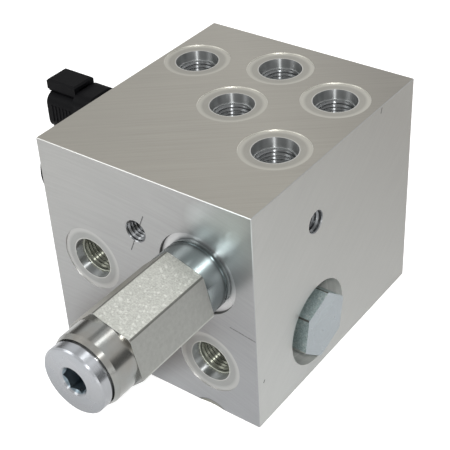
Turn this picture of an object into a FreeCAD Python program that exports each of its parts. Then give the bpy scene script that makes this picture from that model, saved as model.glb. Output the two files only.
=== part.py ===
import FreeCAD, Part
import math
import os
from FreeCAD import Vector

# Pilot valve: a ported manifold block with a relief, a check and a solenoid cartridge.
# Millimetres. +Z is up and -Y is the front. The origin is the middle of the block's bottom face.
# Every cartridge, plug and port is drawn about +Z with its zero on the block's face and +Z
# pointing out of the block, and is then set on its face.

# Manifold block
block_width = 88.9
block_depth = 101.6
block_height = 88.9
block_edge = 0.2

# Clearances
thread_clearance = 0.1
running_clearance = 0.03
armature_clearance = 0.08
seal_clearance = 0.04
assembly_clearance = 0.15
spring_end_gap = 0.1
drill_point_deg = 118.0
hex_crown_deg = 30.0

# How far a cutter runs past what it cuts, and how near an edge must lie to a height to be on it
overrun = 1.0
edge_tolerance = 0.01

# O-ring ports, 9/16-18
port_spot_r = 12.45
port_spot_depth = 0.3
port_mouth_r = 8.0
port_seat_r = 7.47
port_seat_depth = 3.6
port_thread_r = 7.144
port_thread_depth = 14.6
port_passage_r = 3.25

# Where the ports are: across and up on their faces
port_back_left = (-31.0, 22.0)
port_back_middle = (-0.7, 32.6)
port_middle = (-0.7, 2.3)
port_back_right = (28.6, 23.2)
port_front_right = (28.7, -14.5)
front_port_left = (-25.8, 44.8)
front_port_low = (24.5, 21.1)
low_port_reach = 16.0
low_port_lean = 8.0
low_port_passage_r = 2.75
low_port_offset = 1.625

# Tapped mounting holes, 5/16-18, on the front and on the right
tapped_r = 3.97
tapped_depth = 9.5
tapped_mouth_r = 4.3
front_tapped = (-3.3, 65.6)
right_tapped = (-14.5, 65.7)

# Ball-milled lifting notch in the lower front edge
notch_x = 23.9
notch_half_width = 5.8
notch_height = 2.2
notch_ball_r = 29.0

# Cross drillings from the back and their plugs, 7/16-20
low_gallery_z = 21.1
low_gallery_r = 3.25
left_gallery_x = -25.5
left_gallery_z = 40.0
left_gallery_r = 2.75
plug_spot_r = 8.7
plug_spot_depth = 0.5
plug_cone_r = 6.3
plug_cone_foot_r = 5.9
plug_cone_depth = 1.9
plug_thread_r = 5.56
plug_thread_depth = 12.0
plug_head_r = 7.15
plug_head_height = 2.6
plug_head_chamfer = 0.4
plug_gland_r = 4.6
plug_length = 10.0
plug_hex = 4.76
plug_hex_depth = 4.5

# Relief cartridge cavity, 7/8-14, in the front
relief_at = (21.7, 58.2)
relief_spot_r = 15.6
relief_spot_depth = 1.2
relief_cone_r = 12.3
relief_cone_foot_r = 11.6
relief_cone_depth = 2.6
relief_thread_r = 11.11
relief_thread_depth = 20.5
relief_side_r = 9.0
relief_side_depth = 42.5
relief_nose_r = 7.95
relief_nose_depth = 52.5
relief_drill_r = 5.0

# Relief body: skirt, hexagon and neck outside the block
relief_skirt_r = 12.95
relief_skirt_length = 9.7
relief_skirt_edge = 0.5
relief_groove_from_seat = 2.0
relief_groove_width = 0.55
relief_groove_r = 12.6
relief_hex = 25.4
relief_hex_turn = 43.5
relief_hex_length = 35.3
relief_hex_crown = 14.2
relief_neck_r = 12.6
relief_neck_length = 8.0
relief_neck_chamfer = 0.7
relief_neck_taper = 1.9
relief_gland_r = 9.3
relief_shank_depth = 20.0
relief_shank_chamfer = 0.8
relief_spigot_r = 8.6
relief_spigot_depth = 22.0
relief_chamber_r = 8.0
relief_chamber_floor = 14.0
relief_cage_thread_r = 7.0

# Relief end plug
relief_plug_gap = 0.9
relief_plug_neck_r = 10.6
relief_plug_head_r = 11.7
relief_plug_head_height = 3.7
relief_plug_crown = 0.5
relief_plug_thread_r = 9.6
relief_plug_depth = 11.0
relief_plug_groove_r = 7.9
relief_plug_groove_width = 2.3
relief_plug_groove_from_tip = 1.6
relief_socket_hex = 8.0
relief_socket_depth = 7.0
relief_socket_mouth_r = 5.17

# Relief cage, poppet, spring, seat and shims
relief_cage_barrel_r = 8.3
relief_cage_barrel_end = 43.4
relief_cage_end = 52.0
relief_cage_edge = 0.5
relief_guide_r = 4.0
relief_seat_r = 3.0
relief_seat_depth = 38.0
relief_cross_hole_r = 1.75
relief_cross_hole_depth = 33.5
relief_cross_holes = 4
relief_nose_groove_r = 6.05
relief_nose_groove_width = 4.6
relief_nose_groove_from_end = 2.1
relief_nose_ring_width = 1.25
relief_poppet_waist_r = 2.6
relief_poppet_waist_top = 30.0
relief_poppet_waist_foot = 36.0
relief_poppet_waist_slope = 1.0
relief_poppet_tip_r = 1.9
relief_poppet_flange_r = 6.9
relief_poppet_flange_height = 2.6
relief_poppet_boss_r = 3.9
relief_poppet_boss_height = 4.0
relief_boss_taper = 0.5
relief_poppet_rest_gap = 0.4
relief_seat_lift = 0.05
relief_balance_grooves = 3
relief_balance_pitch = 3.4
relief_balance_width = 0.5
relief_balance_depth = 0.4
relief_wire_r = 1.3
relief_coil_r = 6.0
relief_turns = 9.0
relief_spring_seat_height = 3.6
relief_spring_boss_height = 5.0
relief_spring_boss_edge = 1.0
relief_shim_height = 0.8
relief_shim_bore_r = 3.0
relief_shim_count = 2

# Check cartridge cavity, 3/4-16, at the bottom of a recess in the right side
check_at = (-13.25, 21.1)
check_recess_r = 16.55
check_recess_depth = 14.0
check_cone_r = 10.6
check_cone_foot_r = 10.0
check_cone_depth = 2.6
check_thread_r = 9.53
check_thread_depth = 26.5
check_side_r = 8.2
check_side_depth = 36.0
check_nose_r = 6.9
check_nose_depth = 42.0
check_drill_r = 4.0

# Check cartridge
check_hex = 23.0
check_hex_turn = 19.5
check_hex_proud = 2.9
check_hex_crown = 13.0
check_flange_r = 13.4
check_flange_height = 1.8
check_gland_r = 7.9
check_shank_depth = 26.0
check_shank_chamfer = 0.7
check_barrel_r = 7.3
check_body_end = 41.5
check_chamber_r = 5.0
check_chamber_top = 9.0
check_seat_ring_r = 5.6
check_seat_ring_height = 4.5
check_seat_r = 3.5
check_cross_hole_r = 1.5
check_cross_hole_depth = 34.6
check_cross_holes = 4
check_nose_groove_r = 6.0
check_nose_groove_width = 2.9
check_nose_groove_from_end = 1.2
check_nose_ring_width = 0.9
check_poppet_land_foot = 32.6
check_poppet_land_slope = 0.5
check_poppet_waist_r = 4.1
check_poppet_cone_top = 36.6
check_poppet_tip_r = 2.2
check_poppet_top = 23.0
check_pocket_r = 3.4
check_pocket_floor = 31.0
check_seat_lift = 0.05
check_wire_r = 0.35
check_coil_r = 2.8
check_turns = 9.0

# Solenoid cartridge cavity, 3/4-16, in the left side
solenoid_at = (9.8, 32.5)
solenoid_spot_r = 14.0
solenoid_spot_depth = 0.5
solenoid_cone_r = 10.6
solenoid_cone_foot_r = 10.0
solenoid_cone_depth = 2.6
solenoid_thread_r = 9.53
solenoid_thread_depth = 14.5
solenoid_side_r = 7.2
solenoid_side_depth = 26.0
solenoid_nose_r = 6.35
solenoid_nose_depth = 35.0
solenoid_drill_r = 5.0

# Solenoid body, cage and spool
solenoid_hex = 22.2
solenoid_hex_height = 9.5
solenoid_hex_crown = 10.9
solenoid_neck_r = 8.0
solenoid_neck_height = 1.6
solenoid_gland_r = 7.9
solenoid_shank_depth = 13.5
solenoid_shank_chamfer = 0.7
solenoid_body_bore_r = 5.4
solenoid_cage_barrel_r = 6.8
solenoid_cage_end = 34.5
solenoid_cage_top = 1.0
solenoid_spool_bore_r = 4.0
solenoid_cross_hole_r = 1.4
solenoid_cross_hole_depth = 20.5
solenoid_cross_holes = 4
solenoid_nose_groove_r = 5.15
solenoid_nose_groove_width = 3.9
solenoid_nose_groove_from_end = 2.0
solenoid_nose_ring_width = 0.95
solenoid_spool_top = 3.5
solenoid_spool_end = 25.0
solenoid_spool_waist_r = 2.6
solenoid_spool_waist_top = 15.0
solenoid_spool_waist_foot = 19.0
solenoid_spool_drill_r = 1.2
solenoid_pin_r = 1.2
solenoid_pin_clearance = 0.05
solenoid_retainer_height = 1.4
solenoid_retainer_bore_r = 2.0
solenoid_wire_r = 0.4
solenoid_coil_r = 3.0
solenoid_turns = 6.0

# Solenoid tube, pole, armature and end plug
tube_r = 6.5
tube_wall = 0.9
tube_foot = 2.0
tube_end = 58.6
pole_foot = 0.6
pole_top = 21.0
armature_foot = 23.6
armature_length = 23.0
armature_slot_width = 1.4
armature_slot_depth = 1.2
armature_slots = 2
tube_plug_foot = 47.4
tube_plug_proud = 0.9
tube_plug_dimple_r = 1.6

# Coil: frame, bobbin, winding, moulding and nut
coil_foot = 12.2
coil_length = 37.8
coil_r = 18.0
coil_wall = 1.2
coil_lip = 1.0
coil_bore_clearance = 0.25
coil_frame_wall = 1.7
coil_frame_end = 2.0
bobbin_core_wall = 0.9
bobbin_flange = 1.2
winding_r = 13.0
coil_seal_section_r = 0.5
coil_seal_inner_gap = 0.15
nut_hex = 19.05
nut_crown = 9.3
nut_height = 6.6
nut_collar_r = 9.9
nut_collar_height = 1.4

# Connector shell on the coil: width across, heights from the coil's axis, lengths from the face
shell_width = 17.0
shell_foot = 17.5
shell_top = 33.5
shell_corner_r = 4.4
shell_mouth = 49.4
shoulder_top = 36.5
shoulder_end = 35.0
shell_back = 17.5
shell_slope_start = 27.0
shell_slope_height = 22.5
shell_wall = 1.6
shell_bore_depth = 19.0
latch_width = 11.4
latch_height = 5.4
latch_back = 35.5
latch_nose = 1.2
latch_edge = 0.7
latch_slot_height = 1.1
latch_slot_depth = 0.7
latch_window_width = 6.0
latch_window_height = 3.4
latch_window_depth = 3.0
web_width = 12.0
web_foot = 14.5
web_back = 21.0
rib_count = 6
rib_pitch = 1.9
rib_width = 0.7
rib_height = 0.25
rib_from_mouth = 2.2
pin_r = 0.8
pin_spacing = 5.6
pin_tip_from_mouth = 5.5


FACES = {
    "front": (Vector(0, -1, 0), Vector(1, 0, 0)),
    "back": (Vector(0, 1, 0), Vector(-1, 0, 0)),
    "left": (Vector(-1, 0, 0), Vector(0, -1, 0)),
    "right": (Vector(1, 0, 0), Vector(0, 1, 0)),
    "top": (Vector(0, 0, 1), Vector(1, 0, 0)),
    "bottom": (Vector(0, 0, -1), Vector(1, 0, 0)),
}


def face_point(face, across, up):
    """The point on a block face that two of its own coordinates name."""
    half_width, half_depth = block_width / 2, block_depth / 2
    return {
        "front": Vector(across, -half_depth, up),
        "back": Vector(across, half_depth, up),
        "left": Vector(-half_width, across, up),
        "right": Vector(half_width, across, up),
        "top": Vector(across, up, block_height),
        "bottom": Vector(across, up, 0),
    }[face]


def on_face(shape, face, place):
    """Set a shape that is drawn about +Z on a face, with +Z pointing out of the block."""
    out, right = FACES[face]
    turn = FreeCAD.Rotation(right, out.cross(right), out, "ZXY")
    placed = shape.copy()
    placed.Placement = FreeCAD.Placement(face_point(face, *place), turn)
    return placed


def turned(outline):
    """The solid that an outline of (radius, height) points makes about Z."""
    points = [Vector(radius, 0, height) for radius, height in outline]
    face = Part.Face(Part.makePolygon(points + points[:1]))
    return face.revolve(Vector(), Vector(0, 0, 1), 360)


def ring(inner_r, outer_r, low, high):
    """A plain ring or washer."""
    return turned([(inner_r, low), (outer_r, low), (outer_r, high), (inner_r, high)])


def rod(radius, low, high):
    """A plain cylinder about Z."""
    return Part.makeCylinder(radius, high - low, Vector(0, 0, low))


def tip_length(radius):
    """How far a drill's point runs on past its full diameter."""
    return radius / math.tan(math.radians(drill_point_deg / 2))


def bore_tool(steps, bottom):
    """The material that a stepped bore removes: steps of (radius, height), then a drill point."""
    mouth_r, last_r = steps[0][0], steps[-1][0]
    start = [(0, overrun), (mouth_r, overrun)]
    end = [(last_r, bottom), (0, bottom - tip_length(last_r))]
    return turned(start + steps + end)


def hex_bar(across_flats, low, high, turn_deg=0.0):
    """A hexagonal bar about Z, with a corner turn_deg round from X."""
    corner_r = across_flats / math.sqrt(3)
    corners = []
    for side in range(7):
        angle = math.radians(turn_deg + 60 * side)
        corners.append(Vector(corner_r * math.cos(angle), corner_r * math.sin(angle), low))
    return Part.Face(Part.makePolygon(corners)).extrude(Vector(0, 0, high - low))


def crowned_hex(across_flats, low, high, turn_deg, crown_r, crown_low=False, crown_high=True):
    """A hexagonal bar whose corners are turned off, down to crown_r, at one or both ends."""
    corner_r = across_flats / math.sqrt(3) + overrun
    fall = (corner_r - crown_r) * math.tan(math.radians(hex_crown_deg))
    outline = [(0, low)]
    outline += [(crown_r, low), (corner_r, low + fall)] if crown_low else [(corner_r, low)]
    outline += [(corner_r, high - fall), (crown_r, high)] if crown_high else [(corner_r, high)]
    outline += [(0, high)]
    return hex_bar(across_flats, low, high, turn_deg).common(turned(outline))


def o_ring(inner_r, outer_r, middle):
    """A round-section seal that just clears the two walls it lies between."""
    section_r = (outer_r - inner_r) / 2 - seal_clearance
    circle = Part.makeCircle(section_r, Vector((inner_r + outer_r) / 2, 0, middle), Vector(0, 1, 0))
    return Part.Face(Part.Wire(circle)).revolve(Vector(), Vector(0, 0, 1), 360)


def nose_seals(groove_r, bore_r, groove_low, groove_width, ring_width):
    """The O-ring of a cartridge nose and the two back-up rings beside it."""
    groove_high = groove_low + groove_width
    rings = [
        ring(groove_r + seal_clearance, bore_r - seal_clearance, low, low + ring_width)
        for low in (groove_low, groove_high - ring_width)
    ]
    space = groove_width - 2 * ring_width
    section = min(bore_r - groove_r, space)
    return o_ring(bore_r - section, bore_r, groove_low + groove_width / 2), Part.Compound(rings)


def cross_holes(radius, reach, height, count):
    """Radial holes, evenly spaced round Z."""
    holes = []
    for index in range(count):
        hole = Part.makeCylinder(radius, reach, Vector(0, 0, height), Vector(1, 0, 0))
        hole.rotate(Vector(), Vector(0, 0, 1), 360 * index / count)
        holes.append(hole)
    return holes


def coil_spring(coil_radius, wire_r, low, high, turns):
    """A round-wire compression spring with its ends ground flat."""
    pitch = (high - low) / turns
    helix = Part.Wire(Part.makeHelix(pitch, high - low, coil_radius))
    section = Part.Wire(Part.makeCircle(wire_r, Vector(coil_radius, 0, 0), Vector(0, 1, 0)))
    wire = helix.makePipeShell([section], True, True)
    wire.translate(Vector(0, 0, low))
    return wire.common(rod(coil_radius + 2 * wire_r, low, high))


def fuse(first, *others):
    """One solid out of several, without seams."""
    return first.fuse(list(others)).removeSplitter()


def save(node, shape):
    """Write one node, which is one solid or a group of like solids."""
    shape.exportStep(os.path.join("parts", node + ".step"))


# Manifold block
def port_tool(passage_depth):
    """One O-ring port with its spotface, seat, thread and passage."""
    seat_foot = -port_spot_depth - port_seat_depth
    return bore_tool([
        (port_spot_r, -port_spot_depth),
        (port_mouth_r, -port_spot_depth),
        (port_seat_r, seat_foot),
        (port_thread_r, seat_foot),
        (port_thread_r, -port_thread_depth),
        (port_passage_r, -port_thread_depth - tip_length(port_thread_r - port_passage_r)),
    ], -passage_depth)


def port_tools():
    """The seven ports, each drilled on to what it feeds."""
    half_depth = block_depth / 2
    down_to = [
        (port_back_left, left_gallery_z),
        (port_back_middle, low_gallery_z),
        (port_middle, solenoid_at[1]),
        (port_back_right, relief_at[1]),
        (port_front_right, relief_at[1]),
    ]
    tools = [on_face(port_tool(block_height - z), "top", place) for place, z in down_to]
    tools.append(on_face(port_tool(half_depth + port_back_left[1]), "front", front_port_left))
    tools.append(on_face(port_tool(port_thread_depth + port_passage_r), "front", front_port_low))
    return tools + [low_port_passage()]


def low_port_passage():
    """The leaning passage from the low front port to the side of the check cavity."""
    floor_y = -block_depth / 2 + port_thread_depth
    start = Vector(front_port_low[0] - low_port_offset, floor_y, front_port_low[1])
    run = Vector(-low_port_lean, low_port_reach, check_at[1] - front_port_low[1])
    return Part.makeCylinder(low_port_passage_r, run.Length, start, run)


def tapped_tool():
    """One tapped mounting hole with its countersink."""
    return bore_tool([
        (tapped_mouth_r, 0),
        (tapped_r, tapped_r - tapped_mouth_r),
    ], -tapped_depth)


def notch_tool():
    """The ball that leaves the lifting notch, an arc of the given width and height on the front."""
    arc_r = (notch_half_width ** 2 + notch_height ** 2) / (2 * notch_height)
    in_front = math.sqrt(notch_ball_r ** 2 - arc_r ** 2)
    middle = Vector(notch_x, -block_depth / 2 - in_front, notch_height - arc_r)
    return Part.makeSphere(notch_ball_r, middle)


def relief_cavity():
    """The front cavity, drilled on to the back right port."""
    cone_foot = -relief_spot_depth - relief_cone_depth
    return bore_tool([
        (relief_spot_r, -relief_spot_depth),
        (relief_cone_r, -relief_spot_depth),
        (relief_cone_foot_r, cone_foot),
        (relief_thread_r, cone_foot),
        (relief_thread_r, -relief_thread_depth),
        (relief_side_r, -relief_thread_depth - (relief_thread_r - relief_side_r)),
        (relief_side_r, -relief_side_depth),
        (relief_nose_r, -relief_side_depth - (relief_side_r - relief_nose_r)),
        (relief_nose_r, -relief_nose_depth),
        (relief_drill_r, -relief_nose_depth - (relief_nose_r - relief_drill_r)),
    ], -(block_depth / 2 + port_back_right[1] + port_passage_r))


def check_cavity():
    """The recess in the right side and the cavity below it, drilled on to the low gallery."""
    cone_foot = -check_recess_depth - check_cone_depth
    return bore_tool([
        (check_recess_r, -check_recess_depth),
        (check_cone_r, -check_recess_depth),
        (check_cone_foot_r, cone_foot),
        (check_thread_r, cone_foot),
        (check_thread_r, -check_thread_depth),
        (check_side_r, -check_thread_depth - (check_thread_r - check_side_r)),
        (check_side_r, -check_side_depth),
        (check_nose_r, -check_side_depth - (check_side_r - check_nose_r)),
        (check_nose_r, -check_nose_depth),
        (check_drill_r, -check_nose_depth - (check_nose_r - check_drill_r)),
    ], -(block_width / 2 - port_back_middle[0]))


def solenoid_cavity():
    """The left cavity, drilled on to the middle port."""
    cone_foot = -solenoid_spot_depth - solenoid_cone_depth
    return bore_tool([
        (solenoid_spot_r, -solenoid_spot_depth),
        (solenoid_cone_r, -solenoid_spot_depth),
        (solenoid_cone_foot_r, cone_foot),
        (solenoid_thread_r, cone_foot),
        (solenoid_thread_r, -solenoid_thread_depth),
        (solenoid_side_r, -solenoid_thread_depth - (solenoid_thread_r - solenoid_side_r)),
        (solenoid_side_r, -solenoid_side_depth),
        (solenoid_nose_r, -solenoid_side_depth - (solenoid_side_r - solenoid_nose_r)),
        (solenoid_nose_r, -solenoid_nose_depth),
        (solenoid_drill_r, -solenoid_nose_depth - (solenoid_nose_r - solenoid_drill_r)),
    ], -(block_width / 2 + port_middle[0]))


def gallery_tool(radius, reach):
    """A plugged cross drilling."""
    cone_foot = -plug_spot_depth - plug_cone_depth
    return bore_tool([
        (plug_spot_r, -plug_spot_depth),
        (plug_cone_r, -plug_spot_depth),
        (plug_cone_foot_r, cone_foot),
        (plug_thread_r, cone_foot),
        (plug_thread_r, -plug_thread_depth),
        (radius, -plug_thread_depth - (plug_thread_r - radius)),
    ], -reach)


def gallery_places():
    """Where the two cross drillings enter the back."""
    return [(port_back_middle[0], low_gallery_z), (left_gallery_x, left_gallery_z)]


def make_block():
    """The machined block."""
    block = Part.makeBox(block_width, block_depth, block_height,
                         Vector(-block_width / 2, -block_depth / 2, 0))
    block = block.makeChamfer(block_edge, block.Edges)
    low_place, left_place = gallery_places()
    low_reach = block_depth / 2 - check_at[0]
    left_reach = block_depth / 2 - solenoid_at[0] - solenoid_side_r / 2
    tools = port_tools()
    tools += [
        on_face(tapped_tool(), "front", front_tapped),
        on_face(tapped_tool(), "right", right_tapped),
        notch_tool(),
        on_face(relief_cavity(), "front", relief_at),
        on_face(check_cavity(), "right", check_at),
        on_face(solenoid_cavity(), "left", solenoid_at),
        on_face(gallery_tool(low_gallery_r, low_reach), "back", low_place),
        on_face(gallery_tool(left_gallery_r, left_reach), "back", left_place),
    ]
    return block.cut(tools)


def make_gallery_plugs():
    """The hollow-hex plugs of the two cross drillings, and their seals."""
    seat = -plug_spot_depth
    head = seat + plug_head_height
    shank_r = plug_thread_r - thread_clearance
    gland_foot = seat - plug_cone_depth
    plug = turned([
        (0, -plug_length),
        (shank_r - plug_head_chamfer, -plug_length),
        (shank_r, plug_head_chamfer - plug_length),
        (shank_r, gland_foot),
        (plug_gland_r, gland_foot),
        (plug_gland_r, seat),
        (plug_head_r, seat),
        (plug_head_r, head - plug_head_chamfer),
        (plug_head_r - plug_head_chamfer, head),
        (0, head),
    ]).cut(hex_bar(plug_hex, head - plug_hex_depth, head + overrun))
    seal = o_ring(plug_gland_r, plug_cone_foot_r, seat - plug_cone_depth / 2)
    return [Part.Compound([on_face(piece, "back", place) for place in gallery_places()])
            for piece in (plug, seal)]


# Relief cartridge
relief_skirt_top = relief_skirt_length
relief_hex_top = relief_skirt_top + relief_hex_length
relief_neck_top = relief_hex_top + relief_neck_length
relief_body_top = relief_neck_top + relief_neck_taper
relief_head_foot = relief_body_top + relief_plug_gap
relief_head_top = relief_head_foot + relief_plug_head_height
relief_plug_tip = relief_body_top - relief_plug_depth
relief_plug_shank_r = relief_plug_thread_r - thread_clearance


def make_relief_body():
    """Threaded shank, skirt, hexagon and neck, bored for the end plug, the spring and the cage."""
    seat = -relief_spot_depth
    gland_foot = seat - relief_cone_depth
    shank_r = relief_thread_r - thread_clearance
    groove_low = seat + relief_groove_from_seat
    shank = turned([
        (0, -relief_spigot_depth),
        (relief_spigot_r, -relief_spigot_depth),
        (relief_spigot_r, -relief_shank_depth),
        (shank_r - relief_shank_chamfer, -relief_shank_depth),
        (shank_r, relief_shank_chamfer - relief_shank_depth),
        (shank_r, gland_foot),
        (relief_gland_r, gland_foot),
        (relief_gland_r, seat),
        (relief_skirt_r - relief_skirt_edge, seat),
        (relief_skirt_r, seat + relief_skirt_edge),
        (relief_skirt_r, groove_low),
        (relief_groove_r, groove_low),
        (relief_groove_r, groove_low + relief_groove_width),
        (relief_skirt_r, groove_low + relief_groove_width),
        (relief_skirt_r, relief_skirt_top),
        (0, relief_skirt_top),
    ])
    hexagon = crowned_hex(relief_hex, relief_skirt_top, relief_hex_top, relief_hex_turn,
                          relief_hex_crown, crown_low=True)
    neck = turned([
        (0, relief_hex_top),
        (relief_neck_r, relief_hex_top),
        (relief_neck_r, relief_neck_top),
        (relief_neck_r - relief_neck_chamfer, relief_body_top),
        (0, relief_body_top),
    ])
    bores = [
        rod(relief_plug_thread_r, relief_plug_tip - overrun, relief_body_top + overrun),
        rod(relief_chamber_r, -relief_chamber_floor, relief_body_top),
        rod(relief_cage_thread_r, -relief_spigot_depth - overrun, 0),
    ]
    return fuse(shank, hexagon, neck).cut(bores)


def make_relief_plug():
    """The round end plug with its hex socket and seal groove."""
    groove_low = relief_plug_tip + relief_plug_groove_from_tip
    groove_high = groove_low + relief_plug_groove_width
    plug = turned([
        (0, relief_plug_tip),
        (relief_plug_shank_r - relief_plug_crown, relief_plug_tip),
        (relief_plug_shank_r, relief_plug_tip + relief_plug_crown),
        (relief_plug_shank_r, groove_low),
        (relief_plug_groove_r, groove_low),
        (relief_plug_groove_r, groove_high),
        (relief_plug_shank_r, groove_high),
        (relief_plug_shank_r, relief_body_top),
        (relief_plug_neck_r, relief_body_top),
        (relief_plug_neck_r, relief_head_foot),
        (relief_plug_head_r, relief_head_foot),
        (relief_plug_head_r, relief_head_top - relief_plug_crown),
        (relief_plug_head_r - relief_plug_crown, relief_head_top),
        (0, relief_head_top),
    ])
    socket = hex_bar(relief_socket_hex, relief_head_top - relief_socket_depth,
                     relief_head_top + overrun)
    mouth = turned([
        (0, relief_head_top - relief_socket_mouth_r),
        (relief_socket_mouth_r, relief_head_top),
        (0, relief_head_top),
    ])
    return plug.cut([socket, mouth])


def make_relief_plug_seal():
    """The end plug's O-ring."""
    middle = relief_plug_tip + relief_plug_groove_from_tip + relief_plug_groove_width / 2
    return o_ring(relief_plug_groove_r, relief_plug_thread_r, middle)


def make_relief_cage():
    """The sleeve that screws into the body's foot: guide, seat, cross holes and nose groove."""
    screw_r = relief_cage_thread_r - thread_clearance
    nose_r = relief_nose_r - running_clearance
    groove_low = relief_nose_groove_from_end - relief_cage_end
    groove_high = groove_low + relief_nose_groove_width
    sleeve = turned([
        (relief_seat_r, -relief_cage_end),
        (nose_r - relief_cage_edge, -relief_cage_end),
        (nose_r, relief_cage_edge - relief_cage_end),
        (nose_r, groove_low),
        (relief_nose_groove_r, groove_low),
        (relief_nose_groove_r, groove_high),
        (nose_r, groove_high),
        (nose_r, -relief_cage_barrel_end),
        (relief_cage_barrel_r, relief_cage_barrel_r - nose_r - relief_cage_barrel_end),
        (relief_cage_barrel_r, -relief_spigot_depth),
        (screw_r, -relief_spigot_depth),
        (screw_r, -relief_chamber_floor),
        (relief_guide_r, -relief_chamber_floor),
        (relief_guide_r, -relief_seat_depth),
        (relief_seat_r, -relief_seat_depth),
    ])
    return sleeve.cut(cross_holes(relief_cross_hole_r, relief_side_r, -relief_cross_hole_depth,
                                  relief_cross_holes))


def make_relief_poppet():
    """Seat cone, waist, guide land with balance grooves, spring flange and boss."""
    land_r = relief_guide_r - running_clearance
    edge = -relief_seat_depth + relief_seat_lift
    cone_rise = relief_seat_r - relief_poppet_tip_r
    head_r = (relief_guide_r + relief_seat_r) / 2
    flange_foot = relief_poppet_rest_gap - relief_chamber_floor
    flange_top = flange_foot + relief_poppet_flange_height
    outline = [
        (0, edge - cone_rise),
        (relief_poppet_tip_r, edge - cone_rise),
        (head_r, edge + head_r - relief_seat_r),
        (head_r, -relief_poppet_waist_foot),
        (relief_poppet_waist_r, relief_poppet_waist_slope - relief_poppet_waist_foot),
        (relief_poppet_waist_r, -relief_poppet_waist_top),
        (land_r, -relief_poppet_waist_top),
    ]
    for index in range(relief_balance_grooves):
        low = -relief_poppet_waist_top + relief_balance_pitch * (index + 1)
        outline += [
            (land_r, low),
            (land_r - relief_balance_depth, low),
            (land_r - relief_balance_depth, low + relief_balance_width),
            (land_r, low + relief_balance_width),
        ]
    return turned(outline + [
        (land_r, flange_foot),
        (relief_poppet_flange_r, flange_foot),
        (relief_poppet_flange_r, flange_top),
        (relief_poppet_boss_r, flange_top),
        (relief_poppet_boss_r - relief_boss_taper, flange_top + relief_poppet_boss_height),
        (0, flange_top + relief_poppet_boss_height),
    ])


def relief_spring_heights():
    """Where the spring's two ends lie, between the poppet's flange and the spring seat."""
    low = relief_poppet_rest_gap - relief_chamber_floor + relief_poppet_flange_height
    high = relief_plug_tip - relief_shim_count * relief_shim_height - relief_spring_seat_height
    return low + spring_end_gap, high - spring_end_gap


def make_relief_spring_seat():
    """The disc that the outer end of the spring bears on."""
    high = relief_plug_tip - relief_shim_count * relief_shim_height
    low = high - relief_spring_seat_height
    seat_r = relief_chamber_r - assembly_clearance
    boss_r = relief_coil_r - relief_wire_r - assembly_clearance
    return turned([
        (0, low - relief_spring_boss_height),
        (boss_r - relief_boss_taper, low - relief_spring_boss_height),
        (boss_r, low - relief_spring_boss_height + relief_spring_boss_edge),
        (boss_r, low),
        (seat_r, low),
        (seat_r, high),
        (0, high),
    ])


def make_relief_shims():
    """The shims that set the spring's load."""
    outer_r = relief_chamber_r - assembly_clearance
    return Part.Compound([
        ring(relief_shim_bore_r, outer_r, relief_plug_tip - relief_shim_height * (index + 1),
             relief_plug_tip - relief_shim_height * index)
        for index in range(relief_shim_count)
    ])


def make_relief():
    """The whole relief cartridge."""
    spring_low, spring_high = relief_spring_heights()
    nose_seal, nose_backups = nose_seals(
        relief_nose_groove_r, relief_nose_r, relief_nose_groove_from_end - relief_cage_end,
        relief_nose_groove_width, relief_nose_ring_width)
    port_seal_middle = -relief_spot_depth - relief_cone_depth / 2
    return {
        "relief_body": make_relief_body(),
        "relief_end_plug": make_relief_plug(),
        "relief_plug_seal": make_relief_plug_seal(),
        "relief_cage": make_relief_cage(),
        "relief_poppet": make_relief_poppet(),
        "relief_spring": coil_spring(relief_coil_r, relief_wire_r, spring_low, spring_high,
                                     relief_turns),
        "relief_spring_seat": make_relief_spring_seat(),
        "relief_shims": make_relief_shims(),
        "relief_port_seal": o_ring(relief_gland_r, relief_cone_foot_r, port_seal_middle),
        "relief_nose_seal": nose_seal,
        "relief_nose_backups": nose_backups,
    }


# Check cartridge
def make_check_body():
    """Hexagon, flange, threaded shank and nose, with a blind chamber bored from the nose."""
    seat = -check_recess_depth
    flange_top = seat + check_flange_height
    gland_foot = seat - check_cone_depth
    shank_r = check_thread_r - thread_clearance
    nose_r = check_nose_r - running_clearance
    groove_low = check_nose_groove_from_end - check_body_end
    groove_high = groove_low + check_nose_groove_width
    barrel_foot = -check_side_depth + assembly_clearance
    shank = turned([
        (0, -check_body_end),
        (nose_r, -check_body_end),
        (nose_r, groove_low),
        (check_nose_groove_r, groove_low),
        (check_nose_groove_r, groove_high),
        (nose_r, groove_high),
        (nose_r, barrel_foot),
        (check_barrel_r, barrel_foot + check_barrel_r - nose_r),
        (check_barrel_r, -check_shank_depth),
        (shank_r - check_shank_chamfer, -check_shank_depth),
        (shank_r, check_shank_chamfer - check_shank_depth),
        (shank_r, gland_foot),
        (check_gland_r, gland_foot),
        (check_gland_r, seat),
        (check_flange_r, seat),
        (check_flange_r, flange_top),
        (0, flange_top),
    ])
    hexagon = crowned_hex(check_hex, flange_top, check_hex_proud, check_hex_turn, check_hex_crown)
    bores = [
        rod(check_chamber_r, -check_body_end - overrun, -check_chamber_top),
        rod(check_seat_ring_r, -check_body_end - overrun, check_seat_ring_height - check_body_end),
    ]
    holes = cross_holes(check_cross_hole_r, check_side_r, -check_cross_hole_depth,
                        check_cross_holes)
    return fuse(shank, hexagon).cut(bores + holes)


def make_check_seat():
    """The hardened seat pressed into the nose."""
    return ring(check_seat_r, check_seat_ring_r, -check_body_end,
                check_seat_ring_height - check_body_end)


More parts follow.
